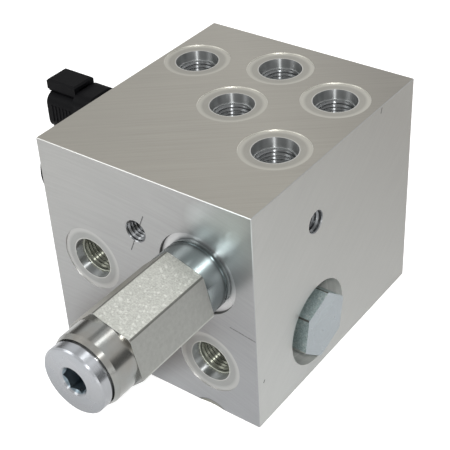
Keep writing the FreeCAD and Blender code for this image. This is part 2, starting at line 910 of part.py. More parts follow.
def make_check_poppet():
    """A hollow poppet: seat cone, waist and guided land, with a pocket for its spring."""
    land_r = check_chamber_r - running_clearance
    edge = check_seat_ring_height - check_body_end + check_seat_lift
    tip = edge - (check_seat_r - check_poppet_tip_r)
    return turned([
        (0, tip),
        (check_poppet_tip_r, tip),
        (check_poppet_waist_r, edge + check_poppet_waist_r - check_seat_r),
        (check_poppet_waist_r, -check_poppet_land_foot - check_poppet_land_slope),
        (land_r, -check_poppet_land_foot),
        (land_r, -check_poppet_top),
        (check_pocket_r, -check_poppet_top),
        (check_pocket_r, -check_pocket_floor),
        (0, -check_pocket_floor),
    ])


def make_check():
    """The whole check cartridge."""
    nose_seal, nose_backups = nose_seals(
        check_nose_groove_r, check_nose_r, check_nose_groove_from_end - check_body_end,
        check_nose_groove_width, check_nose_ring_width)
    port_seal_middle = -check_recess_depth - check_cone_depth / 2
    return {
        "check_body": make_check_body(),
        "check_seat": make_check_seat(),
        "check_poppet": make_check_poppet(),
        "check_spring": coil_spring(check_coil_r, check_wire_r,
                                    spring_end_gap - check_pocket_floor,
                                    -check_chamber_top - spring_end_gap, check_turns),
        "check_port_seal": o_ring(check_gland_r, check_cone_foot_r, port_seal_middle),
        "check_nose_seal": nose_seal,
        "check_nose_backups": nose_backups,
    }


# Solenoid cartridge
def make_solenoid_body():
    """Hexagon, neck and threaded shank, bored for the cage and the tube."""
    seat = -solenoid_spot_depth
    gland_foot = seat - solenoid_cone_depth
    shank_r = solenoid_thread_r - thread_clearance
    neck_top = solenoid_hex_height + solenoid_neck_height
    shank = turned([
        (0, -solenoid_shank_depth),
        (shank_r - solenoid_shank_chamfer, -solenoid_shank_depth),
        (shank_r, solenoid_shank_chamfer - solenoid_shank_depth),
        (shank_r, gland_foot),
        (solenoid_gland_r, gland_foot),
        (solenoid_gland_r, seat),
        (solenoid_hex_crown, seat),
        (solenoid_hex_crown, 0),
        (0, 0),
    ])
    hexagon = crowned_hex(solenoid_hex, 0, solenoid_hex_height, 0, solenoid_hex_crown,
                          crown_low=True)
    neck = rod(solenoid_neck_r, solenoid_hex_height, neck_top)
    bores = [
        rod(solenoid_body_bore_r, -solenoid_shank_depth - overrun, neck_top),
        rod(tube_r, tube_foot, neck_top + overrun),
    ]
    return fuse(shank, hexagon, neck).cut(bores)


def make_solenoid_cage():
    """The sleeve that holds the spool, with cross holes and a nose groove."""
    nose_r = solenoid_nose_r - running_clearance
    spigot_r = solenoid_body_bore_r - assembly_clearance
    groove_low = solenoid_nose_groove_from_end - solenoid_cage_end
    groove_high = groove_low + solenoid_nose_groove_width
    barrel_foot = assembly_clearance - solenoid_side_depth
    sleeve = turned([
        (solenoid_spool_bore_r, -solenoid_cage_end),
        (nose_r, -solenoid_cage_end),
        (nose_r, groove_low),
        (solenoid_nose_groove_r, groove_low),
        (solenoid_nose_groove_r, groove_high),
        (nose_r, groove_high),
        (nose_r, barrel_foot),
        (solenoid_cage_barrel_r, barrel_foot + solenoid_cage_barrel_r - nose_r),
        (solenoid_cage_barrel_r, -solenoid_shank_depth),
        (spigot_r, -solenoid_shank_depth),
        (spigot_r, -solenoid_cage_top),
        (solenoid_spool_bore_r, -solenoid_cage_top),
    ])
    return sleeve.cut(cross_holes(solenoid_cross_hole_r, solenoid_side_r,
                                  -solenoid_cross_hole_depth, solenoid_cross_holes))


def make_solenoid_spool():
    """Two lands and a waist, drilled from the nose to the waist."""
    land_r = solenoid_spool_bore_r - running_clearance
    spool = turned([
        (0, -solenoid_spool_end),
        (land_r, -solenoid_spool_end),
        (land_r, -solenoid_spool_waist_foot),
        (solenoid_spool_waist_r, -solenoid_spool_waist_foot),
        (solenoid_spool_waist_r, -solenoid_spool_waist_top),
        (land_r, -solenoid_spool_waist_top),
        (land_r, -solenoid_spool_top),
        (0, -solenoid_spool_top),
    ])
    middle = -(solenoid_spool_waist_top + solenoid_spool_waist_foot) / 2
    drill = rod(solenoid_spool_drill_r, -solenoid_spool_end - overrun, middle)
    return spool.cut([drill] + cross_holes(solenoid_spool_drill_r, land_r, middle, 2))


def make_armature():
    """The armature, with slots that let oil past it."""
    armature_r = tube_r - tube_wall - armature_clearance
    armature = rod(armature_r, armature_foot, armature_foot + armature_length)
    slots = []
    for index in range(armature_slots):
        slot = Part.makeBox(2 * armature_slot_depth, armature_slot_width,
                            armature_length + 2 * overrun,
                            Vector(armature_r - armature_slot_depth, -armature_slot_width / 2,
                                   armature_foot - overrun))
        slot.rotate(Vector(), Vector(0, 0, 1), 360 * index / armature_slots)
        slots.append(slot)
    return armature.cut(slots)


def make_tube_plug():
    """The plug that closes the tube's end, dimpled in the middle."""
    plug_r = tube_r - tube_wall
    top = tube_end + tube_plug_proud
    return turned([
        (0, tube_plug_foot),
        (plug_r, tube_plug_foot),
        (plug_r, tube_end),
        (plug_r - tube_plug_proud, top),
        (tube_plug_dimple_r, top),
        (0, top - tube_plug_proud),
    ])


def make_solenoid():
    """The whole solenoid cartridge, without its coil."""
    nose_seal, nose_backups = nose_seals(
        solenoid_nose_groove_r, solenoid_nose_r,
        solenoid_nose_groove_from_end - solenoid_cage_end,
        solenoid_nose_groove_width, solenoid_nose_ring_width)
    port_seal_middle = -solenoid_spot_depth - solenoid_cone_depth / 2
    tube_bore_r = tube_r - tube_wall
    pin_bore_r = solenoid_pin_r + solenoid_pin_clearance
    retainer_top = solenoid_retainer_height - solenoid_cage_end
    return {
        "solenoid_body": make_solenoid_body(),
        "solenoid_cage": make_solenoid_cage(),
        "solenoid_spool": make_solenoid_spool(),
        "solenoid_push_pin": rod(solenoid_pin_r, -solenoid_spool_top, armature_foot),
        "solenoid_armature": make_armature(),
        "solenoid_pole": ring(pin_bore_r, tube_bore_r, tube_foot, pole_top).fuse(
            ring(pin_bore_r, solenoid_body_bore_r - assembly_clearance, pole_foot, tube_foot)
        ).removeSplitter(),
        "solenoid_tube": ring(tube_bore_r, tube_r, tube_foot, tube_end),
        "solenoid_tube_plug": make_tube_plug(),
        "solenoid_spring": coil_spring(solenoid_coil_r, solenoid_wire_r,
                                       retainer_top + spring_end_gap,
                                       -solenoid_spool_end - spring_end_gap, solenoid_turns),
        "solenoid_spring_retainer": ring(solenoid_retainer_bore_r, solenoid_spool_bore_r,
                                         -solenoid_cage_end, retainer_top),
        "solenoid_port_seal": o_ring(solenoid_gland_r, solenoid_cone_foot_r, port_seal_middle),
        "solenoid_nose_seal": nose_seal,
        "solenoid_nose_backups": nose_backups,
    }


# Coil and connector
coil_top = coil_foot + coil_length
coil_bore_r = tube_r + coil_bore_clearance
frame_r = coil_r - coil_wall
frame_foot = coil_foot + coil_lip
frame_top = coil_top - coil_lip
bobbin_foot = frame_foot + coil_frame_end
bobbin_top = frame_top - coil_frame_end
bobbin_core_r = coil_bore_r + bobbin_core_wall


def rounded_bar(width, low, high, corner_r, start, end):
    """A bar along Z with a rounded rectangular section: width about Y, from low to high in Y."""
    left, right = -width / 2, width / 2
    bow = corner_r * (1 - math.sqrt(0.5))
    edges = [
        Part.LineSegment(Vector(left + corner_r, low, start), Vector(right - corner_r, low, start)),
        Part.Arc(Vector(right - corner_r, low, start), Vector(right - bow, low + bow, start),
                 Vector(right, low + corner_r, start)),
        Part.LineSegment(Vector(right, low + corner_r, start),
                         Vector(right, high - corner_r, start)),
        Part.Arc(Vector(right, high - corner_r, start), Vector(right - bow, high - bow, start),
                 Vector(right - corner_r, high, start)),
        Part.LineSegment(Vector(right - corner_r, high, start),
                         Vector(left + corner_r, high, start)),
        Part.Arc(Vector(left + corner_r, high, start), Vector(left + bow, high - bow, start),
                 Vector(left, high - corner_r, start)),
        Part.LineSegment(Vector(left, high - corner_r, start), Vector(left, low + corner_r, start)),
        Part.Arc(Vector(left, low + corner_r, start), Vector(left + bow, low + bow, start),
                 Vector(left + corner_r, low, start)),
    ]
    wire = Part.Wire([edge.toShape() for edge in edges])
    return Part.Face(wire).extrude(Vector(0, 0, end - start))


def make_latch():
    """The latch ramp on top of the shell, its nose past the mouth, with window and side slots."""
    low = shell_top - latch_height
    high = shell_top + latch_height
    half = latch_width / 2
    length = shell_mouth + latch_nose - latch_back
    latch = Part.makeBox(latch_width, high - low, length, Vector(-half, low, latch_back))
    top_edges = [edge for edge in latch.Edges if edge.BoundBox.YMin > high - edge_tolerance]
    latch = latch.makeChamfer(latch_edge, top_edges)
    window = Part.makeBox(latch_window_width, latch_window_height, latch_window_depth + overrun,
                          Vector(-latch_window_width / 2, shell_top, latch_back - overrun))
    slots = [
        Part.makeBox(latch_slot_depth, latch_slot_height, length,
                     Vector(side, shell_top, latch_back))
        for side in (-half, half - latch_slot_depth)
    ]
    under_nose = Part.makeBox(latch_width, latch_height, latch_nose,
                              Vector(-half, low, shell_mouth))
    return latch.cut([window, under_nose] + slots)


def make_ribs():
    """Grip ribs on both sides of the shell, near its mouth."""
    low, high = shell_foot + shell_corner_r, shell_top - shell_corner_r
    width = shell_width + 2 * rib_height
    return [
        Part.makeBox(width, high - low, rib_width,
                     Vector(-width / 2, low, shell_mouth - rib_from_mouth - rib_pitch * index
                            - rib_width))
        for index in range(rib_count)
    ]


def make_coil_housing():
    """The black moulding: coil sleeve, connector shell, latch, ribs and web."""
    sleeve = turned([
        (frame_r - coil_lip, coil_foot),
        (coil_r - coil_lip / 2, coil_foot),
        (coil_r, coil_foot + coil_lip / 2),
        (coil_r, coil_top - coil_lip / 2),
        (coil_r - coil_lip / 2, coil_top),
        (frame_r - coil_lip, coil_top),
        (frame_r - coil_lip, frame_top),
        (frame_r, frame_top),
        (frame_r, frame_foot),
        (frame_r - coil_lip, frame_foot),
    ])
    shell = rounded_bar(shell_width, shell_foot, shell_top, shell_corner_r, shell_back, shell_mouth)
    shoulder = rounded_bar(shell_width, shell_foot, shoulder_top, shell_corner_r, shell_back,
                           shoulder_end)
    slope = Part.Face(Part.makePolygon([
        Vector(-shell_width, shell_slope_height, shell_back - overrun),
        Vector(-shell_width, shell_slope_height, shell_back),
        Vector(-shell_width, shoulder_top, shell_slope_start),
        Vector(-shell_width, shoulder_top + overrun, shell_slope_start),
        Vector(-shell_width, shoulder_top + overrun, shell_back - overrun),
        Vector(-shell_width, shell_slope_height, shell_back - overrun),
    ])).extrude(Vector(2 * shell_width, 0, 0))
    web = Part.makeBox(web_width, shell_foot + shell_corner_r - web_foot, coil_top - web_back,
                       Vector(-web_width / 2, web_foot, web_back))
    solid = fuse(shell.fuse(shoulder).cut(slope), make_latch(), web, *make_ribs())
    solid = solid.cut(rod(frame_r, 0, shell_mouth))
    bore = rounded_bar(shell_width - 2 * shell_wall, shell_foot + shell_wall,
                       shell_top - shell_wall, shell_corner_r - shell_wall,
                       shell_mouth - shell_bore_depth, shell_mouth + overrun)
    return fuse(sleeve, solid).cut(bore)


def make_terminals():
    """The two contact pins that stand up from the shell's floor."""
    middle = (shell_foot + shell_top) / 2
    floor = shell_mouth - shell_bore_depth
    pins = []
    for side in (-1, 1):
        pin = rod(pin_r, floor, shell_mouth - pin_tip_from_mouth)
        pin = pin.makeChamfer(pin_r / 2, [edge for edge in pin.Edges
                                          if edge.BoundBox.ZMin > floor + edge_tolerance])
        pin.translate(Vector(0, middle + side * pin_spacing / 2, 0))
        pins.append(pin)
    return Part.Compound(pins)


def make_coil():
    """The coil, from its frame out to the moulding, with its two seals and its nut."""
    frame_bore_r = frame_r - coil_frame_wall
    nut_foot = coil_top + 2 * coil_seal_section_r
    collar_top = nut_foot + nut_collar_height
    nut_top = nut_foot + nut_height
    seal_r = tube_r + coil_seal_inner_gap + coil_seal_section_r
    seals = [Part.makeTorus(seal_r, coil_seal_section_r - seal_clearance / 2, Vector(0, 0, height))
             for height in (coil_foot - coil_seal_section_r, coil_top + coil_seal_section_r)]
    nut = fuse(rod(nut_collar_r, nut_foot, collar_top),
               crowned_hex(nut_hex, collar_top, nut_top, 0, nut_crown))
    return {
        "coil_frame": turned([
            (coil_bore_r, frame_foot),
            (frame_r, frame_foot),
            (frame_r, bobbin_top),
            (frame_bore_r, bobbin_top),
            (frame_bore_r, bobbin_foot),
            (coil_bore_r, bobbin_foot),
        ]),
        "coil_end_washer": ring(coil_bore_r, frame_r, bobbin_top, frame_top),
        "coil_bobbin": turned([
            (coil_bore_r, bobbin_foot),
            (frame_bore_r, bobbin_foot),
            (frame_bore_r, bobbin_foot + bobbin_flange),
            (bobbin_core_r, bobbin_foot + bobbin_flange),
            (bobbin_core_r, bobbin_top - bobbin_flange),
            (frame_bore_r, bobbin_top - bobbin_flange),
            (frame_bore_r, bobbin_top),
            (coil_bore_r, bobbin_top),
        ]),
        "coil_winding": ring(bobbin_core_r, winding_r, bobbin_foot + bobbin_flange,
                             bobbin_top - bobbin_flange),
        "coil_housing": make_coil_housing(),
        "coil_terminals": make_terminals(),
        "coil_seals": Part.Compound(seals),
        "coil_nut": nut.cut(rod(tube_r + thread_clearance, nut_foot - overrun,
                                nut_top + overrun)),
    }


def main():
    """Build and write every node."""
    os.makedirs("parts", exist_ok=True)
    plugs, plug_seals = make_gallery_plugs()
    save("manifold_block", make_block())
    save("gallery_plugs", plugs)
    save("gallery_plug_seals", plug_seals)
    cartridges = [
        ("front", relief_at, make_relief()),
        ("right", check_at, make_check()),
        ("left", solenoid_at, make_solenoid()),
        ("left", solenoid_at, make_coil()),
    ]
    for face, place, pieces in cartridges:
        for node, shape in pieces.items():
            save(node, on_face(shape, face, place))


main()
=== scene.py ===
import math

import bpy
from mathutils import Matrix, Vector


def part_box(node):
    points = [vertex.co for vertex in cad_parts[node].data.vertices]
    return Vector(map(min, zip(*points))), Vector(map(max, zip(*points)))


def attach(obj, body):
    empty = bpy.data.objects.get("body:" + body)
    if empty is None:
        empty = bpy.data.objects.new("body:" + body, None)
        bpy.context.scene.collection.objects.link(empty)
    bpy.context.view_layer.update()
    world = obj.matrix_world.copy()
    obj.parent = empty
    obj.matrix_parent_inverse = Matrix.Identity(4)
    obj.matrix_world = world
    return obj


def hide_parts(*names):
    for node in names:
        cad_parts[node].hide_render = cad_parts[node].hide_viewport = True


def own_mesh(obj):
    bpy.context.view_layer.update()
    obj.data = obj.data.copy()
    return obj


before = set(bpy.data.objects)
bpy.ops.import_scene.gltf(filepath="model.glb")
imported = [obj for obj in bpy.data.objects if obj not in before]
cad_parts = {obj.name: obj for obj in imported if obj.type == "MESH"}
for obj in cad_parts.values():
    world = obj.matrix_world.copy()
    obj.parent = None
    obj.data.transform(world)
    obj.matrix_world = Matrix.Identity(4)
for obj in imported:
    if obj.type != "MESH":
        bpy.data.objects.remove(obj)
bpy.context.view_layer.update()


def srgb(red, green, blue):
    """A colour given as it shows, in 0 to 255, as Blender's linear values."""
    def linear(value):
        value /= 255
        return value / 12.92 if value <= 0.04045 else ((value + 0.055) / 1.055) ** 2.4
    return (linear(red), linear(green), linear(blue), 1.0)


# Lengths are millimetres in the block's frame, and MM turns them into metres.
# Only the studio's boards and lamps are given in metres.
MM = 0.001
X, Y, Z = Vector((1, 0, 0)), Vector((0, 1, 0)), Vector((0, 0, 1))

block_half_width = 44.45
block_half_depth = 50.8
block_height = 88.9
outer_skin = 0.01

port_thread_r = 7.144
port_crest_r = 6.6
port_spot_r = 12.45
port_wall_r = 8.0
port_seat_depth = 3.5
port_thread_start = 4.7
port_thread_end = 14.4
tapped_r = 3.97
tapped_crest_r = 3.3
tapped_thread_start = 0.7
tapped_thread_end = 9.3

# A hole's paint: from and to which depth it goes, and how far past the hole's radius it reaches
face_paint_from = 0.05
recess_paint_from = 0.1
relief_paint_from = 0.2
wall_paint_from = 0.35
hole_paint_depth = 20.0
recess_paint_depth = 60.0
paint_reach = 0.1
tapped_paint_reach = 0.5

# The rings where a cut meets a face: how wide they are, or where they start and are full. The
# relief's outer ring and edge are a painted shade line; at the ports the edge and the mouth ring
# are painted highlights.
port_outer_ring_width = 2.2
relief_shade_line_width = 0.4
edge_ring = (0.08, 0.02)
mouth_ring = (0.4, 0.2)

thread_pitch = 25.4 / 18
thread_steps = 44
thread_root_overlap = 0.06
thread_root_share = 0.48
thread_crest_share = 0.07
spring_steps = 24
spring_sides = 12

top_ports = [(-31.0, 22.0), (-0.7, 32.6), (-0.7, 2.3), (28.6, 23.2), (28.7, -14.5)]
front_ports = [(-25.8, 44.8), (24.5, 21.1)]
front_tapped = (-3.3, 65.6)
right_tapped = (-14.5, 65.7)
relief_axis = (21.7, 58.2)
relief_spot_r = 15.6
relief_hex = 25.4
relief_hex_turn = 43.5
check_axis = (-13.25, 21.1)
check_recess_r = 16.55
check_hex = 23.0
check_hex_turn = 19.5
solenoid_axis = (9.8, 32.5)

# How far a facet may be off a hexagon's flat: its distance, its slope and its turn in degrees
flat_distance = 0.03
flat_slope = 0.05
flat_turn = 1.0

# The lifting notch at the front's lower edge, with the tone of its painted shade and the place of
# the painted shadow line along its arc
notch_x = 23.9
notch_height = 2.2
notch_arc_r = 8.75
notch_shade_tone = srgb(124, 124, 115)
notch_line_heights = (0.6, 0.3)
notch_line_width = (0.4, 0.12)

# The block's tool lines: how far they lean on top, and the middle of the front's arcs
top_lean = math.radians(38)
front_arc_middle = (-30.0, -block_half_depth, -190.0)
right_lean = 0.8

# A painted shade and two painted glows on the front, the glows a painted reflection of the lit
# skirt: the middle, the reach and the tone of each glow
front_painted_shade_middle = (40.0, -block_half_depth, 45.0)
front_painted_glows = [
    ((38.0, -block_half_depth, 81.0), 15.0, srgb(193, 199, 198)),
    ((27.0, -block_half_depth, 80.0), 9.0, srgb(190, 195, 194)),
]

# The ends of the scratches on the front, as x and z, and of the nicks on the right, as y and z
scribe_ends = (0.75, 73.3), (-6.25, 56.7)
scratch_ends = (34.0, 41.2), (44.4, 39.6)
low_nick_ends = (-47.5, 18.8), (-46.7, 19.8)
high_nick_ends = (27.3, 86.2), (27.9, 88.3)
scribe_width, scratch_width, nick_width = 0.28, 0.3, 0.4
# The tone of the scratches and nicks, which also draws the notch's painted shadow line
mark_and_shadow_tone = srgb(48, 48, 50)
# The tone of the painted highlight round each port's mouth
mouth_highlight_tone = srgb(190, 190, 186)

# Between these parts of its normal a face turns square to an axis
square_on = (0.8, 0.95)

# Most noise stays between these values
noise_low, noise_high = 0.3, 0.7

# The colour sockets of Blender's Mix node, by number: its names are shared with other kinds
mix_inputs = (0, 6, 7)
mix_output = 2

camera_at = Vector((204.65, -268.0, 283.3))
camera_right = Vector((0.808, 0.588, -0.048))
camera_forward = Vector((-0.498, 0.637, -0.588))
camera_lens = 89.1
camera_sensor = 36.0
camera_shift = (-0.0018, 0.0018)
camera_clip = (0.01, 20.0)

# How bright the surroundings and the floor are, apart from the light that falls on them
world_light = 0.5
floor_seen = 0.56
floor_in_gloss = 0.28
floor_tone = (0.86, 0.86, 0.86, 1.0)
white = (1.0, 1.0, 1.0, 1.0)


def hole(at, out, wall_r):
    """Where a hole is: a point on its face, the way out of its mouth, and how wide it is."""
    return {"at": Vector(at), "out": out, "r": wall_r}


def top_hole(place, wall_r):
    return hole((place[0], place[1], block_height), Z, wall_r)


def front_hole(place, wall_r):
    return hole((place[0], -block_half_depth, place[1]), -Y, wall_r)


def right_hole(place, wall_r):
    return hole((block_half_width, place[0], place[1]), X, wall_r)


ports = [top_hole(p, port_wall_r) for p in top_ports]
ports += [front_hole(p, port_wall_r) for p in front_ports]
tapped = [front_hole(front_tapped, tapped_r), right_hole(right_tapped, tapped_r)]
relief_hole = front_hole(relief_axis, relief_spot_r)
check_hole = right_hole(check_axis, check_recess_r)

# Where the three cartridges meet the block's faces
relief_at = (relief_axis[0], -block_half_depth, relief_axis[1])
check_at = (block_half_width, check_axis[0], check_axis[1])
solenoid_at = (-block_half_width, solenoid_axis[0], solenoid_axis[1])


def around(point, place):
    """How far a point is from a hole's axis, and how deep below its face."""
    step = point - place["at"]
    depth = -step.dot(place["out"])
    return (step + depth * place["out"]).length, depth


class Shader:
    """One material's nodes, added by short calls that return their output sockets."""

    def __init__(self, name):
        self.material = bpy.data.materials.new(name)
        self.material.use_nodes = True
        self.tree = self.material.node_tree
        self.tree.nodes.clear()
        self.surface = self.tree.nodes.new("ShaderNodeBsdfPrincipled")
        end = self.tree.nodes.new("ShaderNodeOutputMaterial")
        self.tree.links.new(self.surface.outputs[0], end.inputs[0])
        place = self.tree.nodes.new("ShaderNodeTexCoord").outputs["Object"]
        self.place = self.vector("SCALE", place, Scale=1 / MM)

    def fill(self, socket, value):
        """Link a socket, or set it to a plain value."""
        if isinstance(value, bpy.types.NodeSocket):
            self.tree.links.new(value, socket)
        else:
            socket.default_value = value

    def node(self, kind, settings=None, **inputs):
        """A new node. In the inputs' names an underscore stands for a space."""
        made = self.tree.nodes.new("ShaderNode" + kind)
        for key, value in (settings or {}).items():
            setattr(made, key, value)
        for key, value in inputs.items():
            self.fill(made.inputs[key.replace("_", " ")], value)
        return made

    def math(self, operation, *values, clamp=False):
        made = self.node("Math", {"operation": operation, "use_clamp": clamp})
        for socket, value in zip(made.inputs, values):
            self.fill(socket, value)
        return made.outputs[0]

    def add(self, first, second, clamp=False):
        return self.math("ADD", first, second, clamp=clamp)

    def minus(self, first, second):
        return self.math("SUBTRACT", first, second)

    def times(self, first, second):
        return self.math("MULTIPLY", first, second)

    def larger(self, first, second):
        return self.math("MAXIMUM", first, second)

    def size(self, value):
        return self.math("ABSOLUTE", value)

    def vector(self, operation, *values, Scale=None):
        made = self.node("VectorMath", {"operation": operation})
        for socket, value in zip(made.inputs, values):
            self.fill(socket, value)
        if Scale is not None:
            self.fill(made.inputs["Scale"], Scale)
        return made.outputs["Value" if operation in ("LENGTH", "DOT_PRODUCT") else "Vector"]

    def join(self, **parts):
        return self.node("CombineXYZ", **parts).outputs[0]

    def split(self, vector):
        return self.node("SeparateXYZ", Vector=vector).outputs

    def distance(self, middle):
        """How far the place is from a point."""
        return self.vector("LENGTH", self.vector("SUBTRACT", self.place, middle))

    def normal(self):
        return self.node("NewGeometry").outputs["Normal"]

    def span(self, value, low, high, to_low=0.0, to_high=1.0):
        """A value moved from one range to another, and kept inside it."""
        made = self.node("MapRange", Value=value)
        for key, number in (("From Min", low), ("From Max", high), ("To Min", to_low),
                            ("To Max", to_high)):
            made.inputs[key].default_value = number
        return made.outputs[0]

    def spread(self, noise, to_low, to_high):
        """Noise moved to a range of its own."""
        return self.span(noise, noise_low, noise_high, to_low, to_high)

    def noise(self, where, scale, detail=2.0, rough=0.5):
        return self.node("TexNoise", Vector=where, Scale=scale, Detail=detail,
                         Roughness=rough).outputs["Fac"]

    def grain(self, along, across, scale, stretch):
        """Noise drawn out into lines: fine across, long along."""
        return self.noise(self.join(X=across, Y=self.times(along, stretch)), scale, 3.0, 0.65)

    def rings(self, radius, along, scale):
        """Noise that goes round an axis, as a lathe's tool leaves it."""
        return self.noise(self.join(X=radius, Y=along), scale, 3.0, 0.7)

    def mix(self, factor, first, second, blend="MIX"):
        """Two colours mixed by a factor."""
        made = self.node("Mix", {"data_type": "RGBA", "blend_type": blend})
        for index, value in zip(mix_inputs, (factor, first, second)):
            self.fill(made.inputs[index], value)
        return made.outputs[mix_output]

    def shade(self, colour, value):
        """A colour made lighter or darker by a value near 1."""
        return self.mix(1.0, colour, self.join(X=value, Y=value, Z=value), "MULTIPLY")

    def bump(self, height, depth_mm, strength):
        """Relief in the surface, which only the light shows."""
        made = self.node("Bump", Height=height, Strength=strength, Distance=depth_mm * MM)
        self.fill(self.surface.inputs["Normal"], made.outputs[0])

    def set(self, **inputs):
        """Fill inputs of the surface, and return the material."""
        for key, value in inputs.items():
            self.fill(self.surface.inputs[key.replace("_", " ")], value)
        return self.material


def axis_place(s, axis_at, axis):
    """Distance from an axis and place along it, in millimetres."""
    step = s.vector("SUBTRACT", s.place, axis_at)
    along = s.vector("DOT_PRODUCT", step, axis)
    flat = s.vector("SUBTRACT", step, s.vector("SCALE", tuple(axis), Scale=along))
    return s.vector("LENGTH", flat), along


def brush(s, axis_at, axis, amount):
    """Stretch the gloss across the tool lines of metal that was turned about an axis."""
    step = s.vector("SUBTRACT", s.place, axis_at)
    around_axis = s.vector("CROSS_PRODUCT", tuple(axis), step)
    across = s.vector("NORMALIZE", s.vector("CROSS_PRODUCT", s.normal(), around_axis))
    s.set(Anisotropic=amount, Tangent=across)


def end_on(s, axis):
    """1 on faces square to an axis, 0 on rounds about it."""
    return s.span(s.size(s.vector("DOT_PRODUCT", s.normal(), tuple(axis))), *square_on)


def near_line(s, across, up, ends, width):
    """1 on a scratch between two points of a face, fading out over its width."""
    (x0, y0), (x1, y1) = ends
    run_x, run_y = x1 - x0, y1 - y0
    length = math.hypot(run_x, run_y)
    dx, dy = s.minus(across, x0), s.minus(up, y0)
    along = s.add(s.times(dx, run_x / length), s.times(dy, run_y / length))
    beside = s.size(s.minus(s.times(dx, run_y / length), s.times(dy, run_x / length)))
    past = s.size(s.minus(along, length / 2))
    inside = s.math("LESS_THAN", past, length / 2)
    return s.times(inside, s.span(beside, width / 2, width, 1.0, 0.0))


def block_lines(s, on_top, on_front):
    """The block's tool lines: straight on top, wide arcs on the front, faint ones elsewhere."""
    x, y, z = s.split(s.place)
    diagonal = s.add(s.times(x, -math.sin(top_lean)), s.times(y, math.cos(top_lean)))
    beside = s.add(s.times(x, math.cos(top_lean)), s.times(y, math.sin(top_lean)))
    top_lines = s.grain(beside, diagonal, 1.1, 0.02)
    front_lines = s.grain(x, s.distance(front_arc_middle), 0.9, 0.03)
    right_lines = s.grain(s.add(y, s.times(z, right_lean)), s.minus(z, s.times(y, right_lean)),
                          0.5, 0.06)
    lines = s.add(s.times(on_top, s.minus(top_lines, 0.5)),
                  s.times(on_front, s.minus(front_lines, 0.5)))
    elsewhere = s.minus(1.0, s.add(on_top, on_front, clamp=True))
    return s.add(lines, s.times(elsewhere, s.times(s.minus(right_lines, 0.5), 0.5)))


def front_tone(s, up_normal):
    """The front's grey, painted lighter towards the upper left, with its painted shade and painted
    glows, and painted shade inside the notch.
    """
    x, _, z = s.split(s.place)
    # Painted shade: the front is lighter towards the upper left and darker towards the lower right
    tone = s.mix(s.span(s.minus(z, s.times(x, 0.8)), -20.0, 110.0),
                 srgb(156, 157, 159), srgb(167, 167, 165))
    tone = s.shade(tone, s.span(s.distance(front_painted_shade_middle), 4.0, 22.0, 0.93, 1.0))
    for middle, reach, glow in front_painted_glows:
        tone = s.mix(s.span(s.distance(middle), 3.0, reach, 1.0, 0.0), tone, glow)
    # Painted shade on the downward faces inside the notch
    return s.mix(s.span(up_normal, -0.1, -0.16), tone, notch_shade_tone)


def block_marks_and_notch_shadow(s, out_normal, on_right):
    """1 on the front's scratches, on the painted shadow line along the notch's edge, and on the
    nicks of the right side.
    """
    x, y, z = s.split(s.place)
    scribe = near_line(s, x, z, scribe_ends, scribe_width)
    scratch = near_line(s, x, z, scratch_ends, scratch_width)
    # A painted shadow line along the notch's arc
    notch_middle = (notch_x, -block_half_depth, notch_height - notch_arc_r)
    from_middle = s.vector("MULTIPLY", s.vector("SUBTRACT", s.place, notch_middle), (1, 0, 1))
    off_arc = s.size(s.minus(s.vector("LENGTH", from_middle), notch_arc_r))
    none_above, full_below = notch_line_heights
    notch_shadow_line = s.times(s.span(z, notch_height + none_above, notch_height + full_below),
                         s.span(off_arc, *notch_line_width))
    broken = s.span(s.noise(s.place, 1.3), 0.3, 0.45)
    front_marks_and_notch_shadow = s.times(s.times(s.span(out_normal, -0.9, -0.98), broken),
                          s.larger(scribe, s.times(s.larger(scratch, notch_shadow_line), 0.7)))
    nicks = s.larger(near_line(s, y, z, low_nick_ends, nick_width),
                     near_line(s, y, z, high_nick_ends, nick_width))
    return s.larger(front_marks_and_notch_shadow, s.times(on_right, nicks))


def block_material():
    """Milled aluminium: tool lines, slow changes of tone and a few marks, with painted shade on
    each face.
    """
    s = Shader("milled_block")
    x, y, z = s.split(s.place)
    nx, ny, nz = s.split(s.normal())
    on_top = s.span(nz, *square_on)
    on_front = s.span(s.size(ny), *square_on)
    on_right = s.span(nx, *square_on)
    lines = block_lines(s, on_top, on_front)
    blotch = s.noise(s.place, 0.035, 3.0)
    fine = s.noise(s.place, 2.6)
    light = s.add(1.0, s.add(s.times(lines, 0.3), s.times(s.minus(blotch, 0.5), 0.14)))
    light = s.add(light, s.times(s.minus(fine, 0.5), 0.05))
    # Painted reflection of the floor: the right side is lighter low at the front and darker high
    # at the back
    right = s.mix(s.span(s.add(z, y), -20.0, 120.0), srgb(178, 179, 177), srgb(147, 145, 140))
    # The top has a warmer tone of its own, and is painted darker than the sides and darker towards
    # the back right as painted shade
    top = s.mix(s.span(s.add(x, y), 15.0, 85.0), srgb(161, 158, 150), srgb(140, 137, 130))
    colour = s.mix(on_top, s.mix(on_right, front_tone(s, nz), right), top)
    marks = block_marks_and_notch_shadow(s, ny, on_right)
    # Marks darken the colour: the scratches and nicks, and the notch's painted shadow line
    colour = s.mix(s.times(marks, 0.8), s.shade(colour, light), mark_and_shadow_tone)
    s.bump(s.minus(s.add(lines, s.times(fine, 0.3)), s.times(marks, 2.0)), 0.012, 0.5)
    rough = s.add(s.spread(blotch, 0.30, 0.36), s.times(lines, 0.12))
    return s.set(Base_Color=colour, Roughness=rough, Metallic=1.0)


